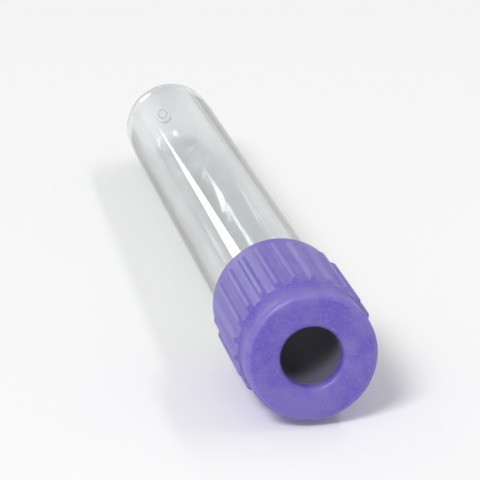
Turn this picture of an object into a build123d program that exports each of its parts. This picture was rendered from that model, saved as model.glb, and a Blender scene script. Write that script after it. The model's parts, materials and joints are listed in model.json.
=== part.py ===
from build123d import *
import math
import os

# A 13 mm by 100 mm blood collection tube: a clear moulded tube, closed by a rubber stopper that
# sits inside a ribbed plastic cap. It lies on its side, cap towards -Y and round bottom towards
# +Y. It rests on two of the cap's grip ribs and on its round bottom, so its axis is slightly tilted.
#
# Every piece is turned about the tube's axis. Heights run along that axis, from the outside of the
# round bottom to the face of the cap. All sizes are in millimetres, and angles in degrees.

# Tube
tube_length = 100.0
tube_diameter = 13.0
mouth_wall = 1.0
bottom_wall = 1.35
bore_draft = 0.2
neck_relief = 0.2
neck_below_skirt = 1.0
rim_chamfer = 0.25
mouth_chamfer = 0.4
gate_dimple_diameter = 3.2
gate_dimple_slope = 0.3
gate_dimple_depth = 0.35
gate_nub_diameter = 1.4
gate_nub_length = 0.25

# Stopper
head_height = 6.8
head_overhang = 0.45
head_chamfer = 0.15
well_floor_chamfer = 0.8
plug_length = 10.0
plug_relief = 0.3
plug_tip_length = 2.4
plug_tip_taper = 0.6
ring_heights = (2.6, 5.4)
ring_crest = 0.8
ring_clearance = 0.03
hollow_wall = 2.0
hollow_depth = 9.0
hollow_cone_length = 2.5

# Cap
well_diameter = 7.2
well_depth = 5.0
well_entry_chamfer = 0.7
top_plate = 1.7
face_round = 0.75
head_seat_clearance = 0.05
collar_wall = 0.7
collar_height = 4.0
skirt_overlap = 12.5
skirt_clearance = 0.3
skirt_wall = 1.05
skirt_chamfer = 0.35
bead_clearance = 0.15
bead_crest = 0.4
bead_ramp = 0.8
base_band = 1.9

# Grip ribs along the skirt
rib_count = 24
rib_height = 0.4
rib_tip_width = 0.35
rib_base_width = 1.2
rib_root_depth = 0.15
rib_end_taper = 0.9

# Radii that follow from the sizes above
tube_r = tube_diameter / 2
neck_r = tube_r - neck_relief
mouth_r = tube_r - mouth_wall
head_r = tube_r + head_overhang
plug_r = mouth_r - plug_relief
hollow_r = plug_r - hollow_wall
well_r = well_diameter / 2
seat_r = head_r + head_seat_clearance
skirt_bore_r = tube_r + skirt_clearance
bead_r = neck_r + bead_clearance
collar_r = seat_r + collar_wall
skirt_r = skirt_bore_r + skirt_wall
rib_tip_r = skirt_r + rib_height

# Heights along the axis that follow from them
draft_slope = math.tan(math.radians(bore_draft))
bore_end_r = (mouth_r - (tube_length - bottom_wall) * draft_slope) / (1 - draft_slope)
bore_end_h = bottom_wall + bore_end_r
head_top_h = tube_length + head_height
plug_end_h = tube_length - plug_length
face_h = head_top_h + top_plate
well_floor_h = face_h - well_depth
collar_end_h = face_h - collar_height
skirt_end_h = tube_length - skirt_overlap
rib_foot_h = skirt_end_h + base_band
rib_top_h = collar_end_h - (skirt_r - collar_r)
rib_contact_h = rib_foot_h + rib_end_taper

# How the tube lies: the round bottom touches the floor below its own centre, and the two lowest
# ribs touch it where their full height begins. The tilt is the angle at which both happen at once.
# The rib's drop is how far the near corner of its tip lies below the axis.
rib_pitch = 360 / rib_count
half_pitch = math.radians(rib_pitch / 2)
rib_drop = rib_tip_r * math.cos(half_pitch) + rib_tip_width / 2 * math.sin(half_pitch)
contact_span = math.hypot(rib_contact_h - tube_r, rib_drop)
tilt = math.atan2(rib_drop, rib_contact_h - tube_r) - math.asin(tube_r / contact_span)

# The gate's dimple and nub, which are the furthest points of the round bottom
dimple_r = gate_dimple_diameter / 2
dimple_edge_h = tube_r - math.sqrt(tube_r**2 - dimple_r**2)
nub_r = gate_nub_diameter / 2
nub_end_h = gate_dimple_depth - gate_nub_length

# The origin is on the floor, half way between the lowest edge of the cap's face and the gate
face_reach = (face_h - face_round) * math.cos(tilt) + (collar_r - face_round) * math.sin(tilt)
nub_reach = nub_r * math.sin(tilt) - nub_end_h * math.cos(tilt)
dimple_reach = dimple_r * math.sin(tilt) - dimple_edge_h * math.cos(tilt)
bottom_y = (face_reach + face_round - max(nub_reach, dimple_reach)) / 2
bottom_z = tube_r * (1 - math.sin(tilt))

# The axis leaves the round bottom at (0, bottom_y, bottom_z) and runs to the cap. In the section
# plane, x is the radius and y is the height along the axis.
bottom_point = Vector(0, bottom_y, bottom_z)
axis_direction = Vector(0, -math.cos(tilt), math.sin(tilt))
long_axis = Axis(bottom_point, axis_direction)
cross_plane = Plane(bottom_point, x_dir=(1, 0, 0), z_dir=axis_direction)
section = Plane(bottom_point, x_dir=(1, 0, 0), z_dir=Vector(1, 0, 0).cross(axis_direction))


def bore_radius(height):
    """Radius of the tube's drafted bore at a height along the axis."""
    return mouth_r - (tube_length - height) * draft_slope


# Tube: one injection moulding in clear plastic, with a drafted bore, an even round bottom, a neck
# turned down slightly where the cap covers it, and the small dimple and nub that the gate leaves
# at the bottom.
mouth_chamfer_h = tube_length - mouth_chamfer
neck_h = skirt_end_h - neck_below_skirt

with BuildPart() as tube:
    with BuildSketch(section):
        with BuildLine():
            gate = Polyline(
                (0, bottom_wall),
                (0, nub_end_h),
                (nub_r, nub_end_h),
                (nub_r, gate_dimple_depth),
                (dimple_r - gate_dimple_slope, gate_dimple_depth),
                (dimple_r, dimple_edge_h),
            )
            TangentArc((tube_r, tube_r), gate @ 1, tangent=(0, -1))
            wall = Polyline(
                (tube_r, tube_r),
                (tube_r, neck_h),
                (neck_r, neck_h + neck_relief),
                (neck_r, tube_length - rim_chamfer),
                (neck_r - rim_chamfer, tube_length),
                (mouth_r + mouth_chamfer, tube_length),
                (bore_radius(mouth_chamfer_h), mouth_chamfer_h),
                (bore_end_r, bore_end_h),
            )
            TangentArc(wall @ 1, (0, bottom_wall), tangent=(0, -1))
        make_face()
    revolve(axis=long_axis)
tube.part.label = "tube"

# Stopper: one rubber moulding. Its head fills the cap and seals on the tube's rim, and its plug goes
# down the bore and meets it at two raised rings. The middle, which the needle goes through, is
# thinned by the round well on top, which carries on from the hole in the cap's face, and by a deep
# hollow underneath.
tip_r = plug_r - plug_tip_taper
hollow_top_h = plug_end_h + hollow_depth

with BuildPart() as stopper:
    with BuildSketch(section):
        with BuildLine():
            Polyline(
                (0, well_floor_h),
                (well_r - well_floor_chamfer, well_floor_h),
                (well_r, well_floor_h + well_floor_chamfer),
                (well_r, head_top_h),
                (head_r - head_chamfer, head_top_h),
                (head_r, head_top_h - head_chamfer),
                (head_r, tube_length + head_chamfer),
                (head_r - head_chamfer, tube_length),
                (plug_r, tube_length),
                (plug_r, plug_end_h + plug_tip_length),
                (tip_r, plug_end_h),
                (hollow_r, plug_end_h),
                (hollow_r, hollow_top_h - hollow_cone_length),
                (0, hollow_top_h),
                close=True,
            )
        make_face()
    revolve(axis=long_axis)
    for ring_height in ring_heights:
        ring_h = tube_length - ring_height
        ring_r = bore_radius(ring_h) - ring_clearance
        crest_half = ring_crest / 2
        base_half = crest_half + ring_r - plug_r
        with BuildSketch(section):
            with BuildLine():
                Polyline(
                    (tip_r, ring_h - base_half),
                    (plug_r, ring_h - base_half),
                    (ring_r, ring_h - crest_half),
                    (ring_r, ring_h + crest_half),
                    (plug_r, ring_h + base_half),
                    (tip_r, ring_h + base_half),
                    close=True,
                )
            make_face()
        revolve(axis=long_axis)
stopper.part.label = "stopper"

# One grip rib, which stands on the +X side of a skirt whose axis is Z, with its foot sunk a little
# into the skirt's wall. It is what its end view and its side view have in common, both of them
# narrower at the tip than at the foot.
rib_root_r = skirt_r - rib_root_depth

with BuildPart() as rib:
    with BuildSketch(Plane.XY.offset(rib_foot_h)):
        Polygon(
            (rib_root_r, rib_base_width / 2),
            (rib_root_r, -rib_base_width / 2),
            (rib_tip_r, -rib_tip_width / 2),
            (rib_tip_r, rib_tip_width / 2),
            align=None,
        )
    extrude(amount=rib_top_h - rib_foot_h)
    with BuildSketch(Plane.XZ):
        Polygon(
            (rib_root_r, rib_foot_h),
            (rib_root_r, rib_top_h),
            (rib_tip_r, rib_top_h - rib_end_taper),
            (rib_tip_r, rib_foot_h + rib_end_taper),
            align=None,
        )
    extrude(amount=rib_base_width, both=True, mode=Mode.INTERSECT)

# Cap: one plastic moulding. Its end plate presses on the stopper's head from above, and the hole in
# it is the top of the needle's well. A bead below the head keeps the stopper in the cap when the two
# are pulled off the tube. The ribs go round the skirt, with the floor between two.
with BuildPart(cross_plane) as cap:
    with BuildSketch(section):
        with BuildLine():
            face = Polyline(
                (well_r, face_h - well_entry_chamfer),
                (well_r + well_entry_chamfer, face_h),
                (collar_r - face_round, face_h),
            )
            face_edge = TangentArc(face @ 1, (collar_r, face_h - face_round), tangent=(1, 0))
            Polyline(
                face_edge @ 1,
                (collar_r, collar_end_h),
                (skirt_r, rib_top_h),
                (skirt_r, skirt_end_h + skirt_chamfer),
                (skirt_r - skirt_chamfer, skirt_end_h),
                (skirt_bore_r + skirt_chamfer, skirt_end_h),
                (skirt_bore_r, skirt_end_h + skirt_chamfer),
                (skirt_bore_r, tube_length - bead_crest - bead_ramp),
                (bead_r, tube_length - bead_crest),
                (bead_r, tube_length),
                (seat_r, tube_length),
                (seat_r, head_top_h),
                (well_r, head_top_h),
                face @ 0,
            )
        make_face()
    revolve(axis=long_axis)
    with PolarLocations(0, rib_count, start_angle=rib_pitch / 2 - 90):
        add(rib.part)
cap.part.label = "cap"

os.makedirs("parts", exist_ok=True)
export_step(tube.part, "parts/tube.step")
export_step(stopper.part, "parts/stopper.step")
export_step(cap.part, "parts/cap.step")
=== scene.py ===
import bmesh
import bpy
import json
import math
from mathutils import Matrix, Vector


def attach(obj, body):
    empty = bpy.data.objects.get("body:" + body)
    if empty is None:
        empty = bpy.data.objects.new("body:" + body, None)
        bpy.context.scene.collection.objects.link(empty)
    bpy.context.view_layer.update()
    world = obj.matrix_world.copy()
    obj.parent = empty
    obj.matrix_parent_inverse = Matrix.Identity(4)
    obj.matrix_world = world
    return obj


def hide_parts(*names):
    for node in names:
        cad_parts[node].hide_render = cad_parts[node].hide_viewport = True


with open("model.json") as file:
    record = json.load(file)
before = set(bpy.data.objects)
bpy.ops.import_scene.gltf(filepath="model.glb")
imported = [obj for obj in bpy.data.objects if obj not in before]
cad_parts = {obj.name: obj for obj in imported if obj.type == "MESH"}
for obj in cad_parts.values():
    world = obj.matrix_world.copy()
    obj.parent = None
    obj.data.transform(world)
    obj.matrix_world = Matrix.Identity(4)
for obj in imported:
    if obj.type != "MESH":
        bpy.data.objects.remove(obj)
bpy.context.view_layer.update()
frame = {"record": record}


# The tube: one clear PET moulding, 100 mm long and 13 mm across, with a drafted bore and a round
# bottom. It is injected at the bottom, where the gate leaves a small dimple with a nub in it. Its
# axis is also the axis of the stopper and the cap. Sizes are in millimetres, and MM is one in metres.
MM = 0.001
tube_length = 100.0
tube_radius = 6.5
neck_radius = 6.3
neck_start = 86.5
mouth_radius = 5.5
mouth_bevel = 0.45
bore_draft = math.radians(0.2)
bottom_wall = 1.35
dimple_radius = 1.6
dimple_slope = 0.3
dimple_depth = 0.35
nub_radius = 0.7
nub_end = 0.1

# Heights run along the axis from the outside of the round bottom. The mounts give the middle of the
# cap's face and the way that the axis lies, and the heights of the stopper's head and the cap's end
# plate give how far the bottom is from that face.
head_height = 6.8
top_plate = 1.7
head_top = tube_length + head_height
face_height = head_top + top_plate
mounts = {mount["name"]: mount for mount in frame["record"]["mounts"]}
outward = Vector(mounts["cap_face"]["axis"]).normalized()
well_point = Vector(mounts["needle_bore"]["pos_m"])
face_point = Vector(mounts["cap_face"]["pos_m"])
face_centre = well_point + outward * (face_point - well_point).dot(outward)
sideways = Vector((1, 0, 0))
axes = Matrix((sideways, outward.cross(sideways), outward)).transposed()
lying = Matrix.Translation(face_centre - outward * face_height * MM) @ axes.to_4x4()


def rounded(corners, fineness=8):
    """An outline of (radius, height) points, from corners of (radius, height, rounding)."""
    outline = []
    for before, corner, after in zip(corners[-1:] + corners[:-1], corners, corners[1:] + corners[:1]):
        here = Vector(corner[:2])
        if not corner[2]:
            outline.append(here)
            continue
        back = (Vector(before[:2]) - here).normalized()
        on = (Vector(after[:2]) - here).normalized()
        half = back.angle(on) / 2
        centre = here + (back + on).normalized() * corner[2] / math.sin(half)
        start = here + back * corner[2] / math.tan(half) - centre
        end = here + on * corner[2] / math.tan(half) - centre
        turn = math.copysign(start.angle(end), start.x * end.y - start.y * end.x)
        steps = max(2, math.ceil(fineness * abs(turn) / math.radians(90)))
        for step in range(steps + 1):
            outline.append(centre + Matrix.Rotation(turn * step / steps, 2) @ start)
    return outline


def ball(centre, radius, first, last, steps):
    """Part of a ball's outline about the axis. Angles in radians, from the ball's lowest point."""
    angles = [first + (last - first) * step / steps for step in range(steps + 1)]
    return [Vector((radius * math.sin(angle), centre - radius * math.cos(angle))) for angle in angles]


def turned(name, outline, steps, relief=None):
    """A closed body turned about the axis. relief gives how far a point stands out from the turned
    surface, from its angle, radius and height."""
    mesh = bmesh.new()
    rings = []
    for radius, height in outline:
        if radius < 1e-6:
            rings.append([mesh.verts.new((0, 0, height * MM))])
            continue
        ring = []
        for step in range(steps):
            angle = math.tau * step / steps
            reach = radius + (relief(angle, radius, height) if relief else 0)
            point = Vector((reach * math.cos(angle), reach * math.sin(angle), height))
            ring.append(mesh.verts.new(point * MM))
        rings.append(ring)
    pairs = list(zip(rings, rings[1:]))
    if len(rings[0]) > 1:
        pairs.append((rings[-1], rings[0]))
    for low, high in pairs:
        for step in range(steps):
            after = (step + 1) % steps
            if len(low) == 1:
                mesh.faces.new((low[0], high[after], high[step]))
            elif len(high) == 1:
                mesh.faces.new((low[step], low[after], high[0]))
            else:
                mesh.faces.new((low[step], low[after], high[after], high[step]))
    if mesh.calc_volume(signed=True) < 0:
        bmesh.ops.reverse_faces(mesh, faces=mesh.faces)
    data = bpy.data.meshes.new(name)
    mesh.to_mesh(data)
    mesh.free()
    data.shade_smooth()
    piece = bpy.data.objects.new(name, data)
    piece.matrix_world = lying
    bpy.context.scene.collection.objects.link(piece)
    piece.modifiers.new("even_shading", "WEIGHTED_NORMAL")
    return piece


class Value:
    """What comes out of a node. Arithmetic on it adds Math nodes."""

    def __init__(self, finish, socket):
        self.finish = finish
        self.socket = socket

    def __add__(self, other):
        return self.finish.math("ADD", self, other)

    def __sub__(self, other):
        return self.finish.math("SUBTRACT", self, other)

    def __rsub__(self, other):
        return self.finish.math("SUBTRACT", other, self)

    def __mul__(self, other):
        return self.finish.math("MULTIPLY", self, other)

    __radd__ = __add__
    __rmul__ = __mul__


class Finish:
    """The nodes of a material or of the world."""

    def __init__(self, owner):
        self.owner = owner
        owner.use_nodes = True
        self.tree = owner.node_tree
        self.tree.nodes.clear()

    def node(self, kind, settings, sockets, out=0):
        """One node. Its settings are set first. Its sockets then get numbers, colours or links."""
        node = self.tree.nodes.new("ShaderNode" + kind)
        for name, setting in settings.items():
            setattr(node, name, setting)
        for key, value in sockets.items():
            if isinstance(value, Value):
                self.tree.links.new(value.socket, node.inputs[key])
            else:
                node.inputs[key].default_value = value
        return Value(self, node.outputs[out]) if node.outputs else None

    def math(self, operation, first, second):
        return self.node("Math", {"operation": operation}, {0: first, 1: second})

    def place(self):
        """The place on the piece in metres, with Z along the axis."""
        return self.node("TexCoord", {}, {}, "Object")

    def height(self):
        """The height along the axis in metres."""
        return self.node("SeparateXYZ", {}, {0: self.place()}, "Z")

    def clouds(self, size, stretch=1.0, detail=3.0, shift=(0, 0, 0)):
        """Cloudy patches from 0 to 1, about size millimetres across and longer along the axis. They
        lie elsewhere when shifted, by a number of patches."""
        scale = (1 / (size * MM), 1 / (size * MM), 1 / (size * stretch * MM))
        sockets = {0: self.place(), 1: scale, 2: shift}
        sized = self.node("VectorMath", {"operation": "MULTIPLY_ADD"}, sockets)
        return self.node("TexNoise", {}, {"Vector": sized, "Scale": 1.0, "Detail": detail})

    def step(self, value, start, end):
        """Rises smoothly from 0 to 1 as value goes from start to end."""
        sockets = {"Value": value, "From Min": start, "From Max": end}
        return self.node("MapRange", {"interpolation_type": "SMOOTHSTEP"}, sockets)

    def blend(self, amount, first, second):
        """A colour between two others."""
        return self.node("Mix", {"data_type": "RGBA"}, {0: amount, 6: first, 7: second}, 2)

    def uneven(self, height, depth):
        """The normal of a surface that rises and falls by up to depth millimetres."""
        return self.node("Bump", {}, {"Height": height, "Distance": depth * MM})

    def principled(self, sockets):
        return self.node("BsdfPrincipled", {}, sockets)

    def end(self, shader, kind="OutputMaterial", volume=None):
        """The output, which takes the shader of the surface and, where there is one, the volume's."""
        sockets = {"Surface": shader}
        if volume:
            sockets["Volume"] = volume
        self.node(kind, {}, sockets)


def colour(red, green, blue):
    """A linear colour from the 0 to 255 values that it shows as."""
    linear = []
    for value in (red, green, blue):
        shown = value / 255
        linear.append(((shown + 0.055) / 1.055) ** 2.4 if shown > 0.04 else shown / 12.92)
    return (*linear, 1)


bore_slope = math.tan(bore_draft)


def bottom_height(radius):
    """Height of the outside of the round bottom, at a distance from the axis."""
    return tube_radius - math.sqrt(tube_radius**2 - radius**2)


def bore_radius(height):
    """Radius of the drafted bore at a height along the axis."""
    return mouth_radius - (tube_length - height) * bore_slope


# The bore ends in a half ball, as wide as the bore is there, which leaves an even wall.
bore_end_radius = (mouth_radius - (tube_length - bottom_wall) * bore_slope) / (1 - bore_slope)
bore_end = bottom_wall + bore_end_radius

# The tube's outline goes from the gate over the round bottom, up the outside, over the mouth and back
# down the bore. The gate's last point is also the first one of the round bottom.
ball_start = dimple_radius + 0.5
mouth_end = tube_length - 1.2
neck_step = tube_radius - neck_radius
gate = rounded(
    [
        (0, nub_end, 0),
        (nub_radius, nub_end, 0.1),
        (nub_radius, dimple_depth, 0.1),
        (dimple_radius - dimple_slope, dimple_depth, 0.15),
        (dimple_radius, bottom_height(dimple_radius), 0.12),
        (ball_start, bottom_height(ball_start), 0),
    ]
)
neck = rounded(
    [
        (tube_radius, neck_start - 1, 0),
        (tube_radius, neck_start, 0.2),
        (neck_radius, neck_start + neck_step, 0.2),
        (neck_radius, tube_length, 0.3),
        (mouth_radius + mouth_bevel, tube_length, 0.25),
        (mouth_radius, tube_length - mouth_bevel, 0.4),
        (bore_radius(mouth_end), mouth_end, 0),
    ]
)
quarter = math.radians(90)
outside = ball(tube_radius, tube_radius, math.asin(ball_start / tube_radius), quarter, 40)
inside = ball(bore_end, bore_end_radius, quarter, 0, 40)
tube = turned("clear_tube", gate[:-1] + outside + neck + inside, 256)

# Clear PET, with the faint waviness that the melt leaves as it runs up the mould, and a few patches
# that are slightly hazy from rubbing in the pack. It looks slightly blue-green where it is thick.
clean_clear = colour(253, 254, 254)
hazy_clear = colour(247, 250, 251)
depth_tint = (0.3, 0.42, 0.46, 1)
clear_pet = Finish(bpy.data.materials.new("clear_pet"))
flow = clear_pet.clouds(4, stretch=8)
haze = clear_pet.step(clear_pet.clouds(7, stretch=2), 0.45, 0.75)
scuffs = clear_pet.step(clear_pet.clouds(0.5, stretch=5, detail=5), 0.6, 0.8)
clear_pet.end(
    clear_pet.principled(
        {
            "Base Color": clear_pet.blend(haze, clean_clear, hazy_clear),
            "Roughness": 0.02 + haze * 0.04 + scuffs * 0.03,
            "IOR": 1.575,
            "Transmission Weight": 1.0,
            "Normal": clear_pet.uneven(flow, 0.008),
        }
    ),
    volume=clear_pet.node("VolumeAbsorption", {}, {"Color": depth_tint, "Density": 70.0}),
)
tube.data.materials.append(clear_pet.owner)
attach(tube, "tube")
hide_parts("tube")


# The stopper: one moulding in dark grey butyl rubber. Its head sits on the tube's rim and fills the
# cap, and its plug goes down the bore. The needle goes through the thin middle, at the bottom of a
# round well. It stands a hair above the rim, so that rubber and clear plastic don't share a face.
rim_gap = 0.02
well_radius = 3.6
well_depth = 5.0
well_floor = face_height - well_depth
head_radius = 6.95
head_foot = tube_length + rim_gap
plug_radius = 5.2
plug_length = 10.0
plug_end = tube_length - plug_length
tip_length = 2.4
tip_taper = 0.6
hollow_radius = 3.2
hollow_depth = 9.0
hollow_top = plug_end + hollow_depth
hollow_cone = 2.5

# Two sealing rings stand out from the plug, each given from its upper foot to its lower one.
ring_depths = (2.6, 5.4)
ring_reach = 0.26
ring_profile = ((0, 0.8), (ring_reach, 0.3), (ring_reach, -0.3), (0, -0.8))
rings = [
    (plug_radius + reach, tube_length - depth + offset, 0.2)
    for depth in ring_depths
    for reach, offset in ring_profile
]
stopper_outline = rounded(
    [
        (0, well_floor, 0),
        (well_radius, well_floor, 1.4),
        (well_radius, head_top, 0.12),
        (head_radius, head_top, 0.2),
        (head_radius, head_foot, 0.2),
        (plug_radius, head_foot, 0.1),
        *rings,
        (plug_radius, plug_end + tip_length, 0.6),
        (plug_radius - tip_taper, plug_end, 0.3),
        (hollow_radius, plug_end, 0.3),
        (hollow_radius, hollow_top - hollow_cone, 1.5),
        (0, hollow_top, 0),
    ]
)
stopper = turned("rubber_stopper", stopper_outline, 192)

# Moulded rubber: nearly black, with a soft bloom in patches and a fine grain from the mould. The well's
# wall is painted paler than the well's floor. This is painted light: the wall looks lit, and the floor
# is left dark as painted shade.
dark_grey = colour(56, 55, 60)
bloomed_grey = colour(72, 70, 76)
painted_lit_grey = colour(106, 102, 118)
grey_rubber = Finish(bpy.data.materials.new("grey_rubber"))
bloom = grey_rubber.clouds(1.6, detail=4)
grain = grey_rubber.clouds(0.12)
# Painted light: paler grey up the well's wall, so that the wall looks lit and the well's floor looks
# shaded.
painted_wall_light = grey_rubber.step(grey_rubber.height(), (well_floor + 0.1) * MM, (well_floor + 1.4) * MM)
bare = grey_rubber.blend(bloom, dark_grey, bloomed_grey)
grey_rubber.end(
    grey_rubber.principled(
        {
            "Base Color": grey_rubber.blend(painted_wall_light, bare, painted_lit_grey),
            "Roughness": 0.62 + bloom * 0.2,
            "Specular IOR Level": 0.4,
            "Normal": grey_rubber.uneven(grain + bloom, 0.02),
        }
    )
)
stopper.data.materials.append(grey_rubber.owner)
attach(stopper, "closure")
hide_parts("stopper")


# The cap: one violet polyethylene moulding, pushed over the stopper and the tube's mouth. The hole in
# its end plate is the mouth of the needle's well. A smooth collar runs round below the face, and 24
# grip ribs run down the skirt to a smooth band at its open end.
collar_radius = 7.7
collar_height = 4.0
collar_end = face_height - collar_height
edge_round = 0.75
mouth_round = 0.7
skirt_radius = 7.85
skirt_bore = 6.8
skirt_end = 87.5
skirt_round = 0.35
skirt_band = 1.9
bead_radius = 6.45
bead_crest = 0.4
bead_ramp = 0.8
seat_radius = 7.0

# The ribs stand on the skirt, with their feet sunk a little into it, and slope at the sides and ends.
rib_count = 24
rib_height = 0.4
rib_depth = 0.15
rib_half_width = 0.6
rib_half_tip = 0.175
rib_end_taper = 0.9
rib_foot = skirt_end + skirt_band
rib_top = collar_end - (skirt_radius - collar_radius)
rib_side_slope = (rib_height + rib_depth) / (rib_half_width - rib_half_tip)
rib_end_slope = (rib_height + rib_depth) / rib_end_taper
rib_edge_round = 0.12
rib_foot_round = 0.1


def soft_least(first, second, blend):
    """The lesser of two numbers, with the corner between them rounded off over blend."""
    return min(first, second) - max(blend - abs(first - second), 0) ** 2 / (4 * blend)


def rib_relief(angle, radius, height):
    """How far the ribs stand out from the skirt, with soft edges and a soft foot."""
    if radius < skirt_radius - skirt_round or not rib_foot - 0.2 < height < rib_top + 0.2:
        return 0
    # The lowest line of the skirt, at -90 degrees, is half way between two ribs.
    pitch = math.tau / rib_count
    offset = (angle + math.radians(90)) / pitch % 1 - 0.5
    side = (rib_half_width - abs(offset) * pitch * skirt_radius) * rib_side_slope - rib_depth
    end = min(height - rib_foot, rib_top - height) * rib_end_slope - rib_depth
    rib = soft_least(soft_least(side, end, rib_edge_round), rib_height, rib_edge_round)
    stands = rib + skirt_radius - radius
    return -soft_least(-stands, 0, rib_foot_round)


# The outline has close points where the ends of the ribs slope, and few where the ribs are straight.
rib_steps = 30
taper_steps = 12
taper_length = 1.5
tapers = [
    (skirt_radius, start - taper_length * step / taper_steps, 0)
    for start in (rib_top - 0.1, rib_foot + taper_length - 0.1)
    for step in range(taper_steps + 1)
]
cap_outline = rounded(
    [
        (well_radius, face_height, mouth_round),
        (collar_radius, face_height, edge_round),
        (collar_radius, collar_end, 0),
        (skirt_radius, rib_top, 0),
        *tapers,
        (skirt_radius, skirt_end, skirt_round),
        (skirt_bore, skirt_end, skirt_round),
        (skirt_bore, tube_length - bead_crest - bead_ramp, 0.3),
        (bead_radius, tube_length - bead_crest, 0.15),
        (bead_radius, tube_length, 0.1),
        (seat_radius, tube_length, 0.1),
        (seat_radius, head_top, 0.1),
        (well_radius, head_top, 0.1),
    ]
)
cap = turned("ribbed_cap", cap_outline, rib_count * rib_steps, rib_relief)

# Violet polyethylene, satin, with a fine grain and slight streaks of colour from the moulding. It is
# paler where it rubs on the tips of the ribs. Round the edge of the face it is paler too, partly from
# rubbing and partly as a painted highlight, a bright ring standing in for light on the rounded edge.
deep_violet = colour(101, 84, 184)
greyed_violet = colour(122, 107, 186)
speck_violet = colour(132, 119, 194)
rubbed_and_highlit_violet = colour(150, 140, 212)
violet_plastic = Finish(bpy.data.materials.new("violet_plastic"))
streaks = violet_plastic.clouds(2.4, stretch=2, detail=4, shift=(-33.65, 57.8, 0))
speckle = violet_plastic.clouds(0.35, detail=5)
grain = violet_plastic.clouds(0.16)
flat = {0: violet_plastic.place(), 1: (1, 1, 0)}
across = violet_plastic.node("VectorMath", {"operation": "MULTIPLY"}, flat)
radius = violet_plastic.node("VectorMath", {"operation": "LENGTH"}, {0: across}, "Value")
height = violet_plastic.height()
tip_radius = skirt_radius + rib_height
half_way_up = skirt_radius + rib_height / 2
rib_tips = violet_plastic.step(radius, half_way_up * MM, tip_radius * MM)
# The edge of the face is painted paler: partly rubbing, partly a painted highlight along the rounded
# edge.
rim = violet_plastic.step(radius, (collar_radius - edge_round) * MM, (collar_radius - 0.35) * MM)
near_face = violet_plastic.step(height, (face_height - 0.9) * MM, (face_height - 0.4) * MM)
rubbed_and_highlit = rib_tips * 0.25 + rim * near_face * 0.3
patches = violet_plastic.step(streaks, 0.3, 0.7)
mottled = violet_plastic.blend(patches, deep_violet, greyed_violet)
specks = violet_plastic.step(speckle, 0.45, 0.7) * 0.5
speckled = violet_plastic.blend(specks, mottled, speck_violet)
violet_plastic.end(
    violet_plastic.principled(
        {
            "Base Color": violet_plastic.blend(rubbed_and_highlit, speckled, rubbed_and_highlit_violet),
            "Roughness": 0.3 + streaks * 0.1 + speckle * 0.08,
            "Specular IOR Level": 0.45,
            "Subsurface Weight": 0.15,
            "Subsurface Radius": (0.6, 0.5, 1.0),
            "Subsurface Scale": 0.0008,
            "Normal": violet_plastic.uneven(grain + speckle, 0.02),
        }
    )
)
cap.data.materials.append(violet_plastic.owner)
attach(cap, "closure")
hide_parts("cap")


# The floor: a plain white sheet, many times larger than the tube. It glows faintly for the camera,
# for reflections and for what is seen through the tube, so that it reads as white round its shadow.
bpy.ops.mesh.primitive_plane_add(size=12)
floor = bpy.context.object
floor.name = "white_floor"
white_sheet = Finish(bpy.data.materials.new("white_sheet"))


def in_view(finish):
    """1 for a ray from the camera, off a gloss or through clear plastic, and 0 for plain light."""
    seen = finish.node("LightPath", {}, {}, "Is Camera Ray")
    for kind in ("Is Glossy Ray", "Is Transmission Ray"):
        seen = finish.math("MAXIMUM", seen, finish.node("LightPath", {}, {}, kind))
    return seen


sheet = white_sheet.node("BsdfDiffuse", {}, {"Color": colour(245, 245, 245)})
sheet_glow = 0.07
white = {"Color": colour(255, 255, 255), "Strength": in_view(white_sheet) * sheet_glow}
glow = white_sheet.node("Emission", {}, white)
white_sheet.end(white_sheet.node("AddShader", {}, {0: sheet, 1: glow}))
floor.data.materials.append(white_sheet.owner)


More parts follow.
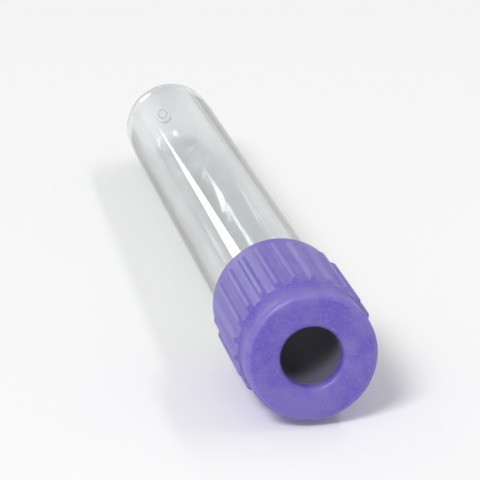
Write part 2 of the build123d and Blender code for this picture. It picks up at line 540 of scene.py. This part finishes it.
# The light: a soft white room with a greyer ceiling, a large soft lamp up on the left, whose light
# reaches only the lower right wall of the needle's well, and two weak strip lamps, behind and up on the
# right, whose reflections run along the clear tube. The camera itself sees the room as plain white.
room = bpy.data.worlds.new("white_room")
bpy.context.scene.world = room
walls = Finish(room)
room_light = 0.42
ceiling_shade = 0.6
height = walls.node("SeparateXYZ", {}, {0: walls.node("TexCoord", {}, {}, "Generated")}, "Z")
backdrop = 1 - walls.step(height, 0.05, 0.35) * (1 - ceiling_shade)
to_camera = walls.node("LightPath", {}, {}, "Is Camera Ray")
shown = walls.math("MAXIMUM", backdrop, to_camera)
seen = in_view(walls)
brightness = seen * shown + (1 - seen) * room_light
glow = walls.node("Background", {}, {"Color": colour(255, 255, 255), "Strength": brightness})
walls.end(glow, "OutputWorld")
middle = (face_centre + lying.translation) / 2


def lamp(name, aim, direction, distance, width, height, power):
    """A soft lamp, width by height metres, that shines at aim from that direction."""
    light = bpy.data.lights.new(name, "AREA")
    light.shape = "RECTANGLE"
    light.size = width
    light.size_y = height
    light.energy = power
    stand = bpy.data.objects.new(name, light)
    stand.location = aim + Vector(direction).normalized() * distance
    stand.rotation_euler = Vector(direction).to_track_quat("Z", "Y").to_euler()
    bpy.context.scene.collection.objects.link(stand)


lamp("key_lamp", middle, (-0.44, -0.57, 0.69), 1.8, 0.54, 0.54, 19.3)
lamp("back_strip", middle, (-0.28, 0.9, 0.3), 1.2, 0.12, 0.4, 0.75)
past_the_bottom = middle + Vector((0, 0.2, 0))
lamp("side_strip", past_the_bottom, (0.55, 0, 0.8), 1.0, 0.9, 0.1, 1.7)

# The camera looks down on the cap's face from slightly left of the tube's axis, through a long lens,
# and is turned towards a point a little short of half way along the tube.
camera_side = math.radians(-12)
camera_rise = math.radians(21)
camera_distance = 0.31
view_width = math.radians(10)
towards = Vector(
    (
        math.sin(camera_side) * math.cos(camera_rise),
        -math.cos(camera_side) * math.cos(camera_rise),
        math.sin(camera_rise),
    )
)
camera = bpy.data.objects.new("camera", bpy.data.cameras.new("camera"))
camera.data.angle = view_width
camera.data.clip_start = 0.01
camera.location = face_centre + towards * camera_distance
aim = face_centre.lerp(lying.translation, 0.42)
camera.rotation_euler = (camera.location - aim).to_track_quat("Z", "Y").to_euler()
bpy.context.scene.collection.objects.link(camera)
bpy.context.scene.camera = camera
bpy.context.scene.view_settings.view_transform = "Standard"
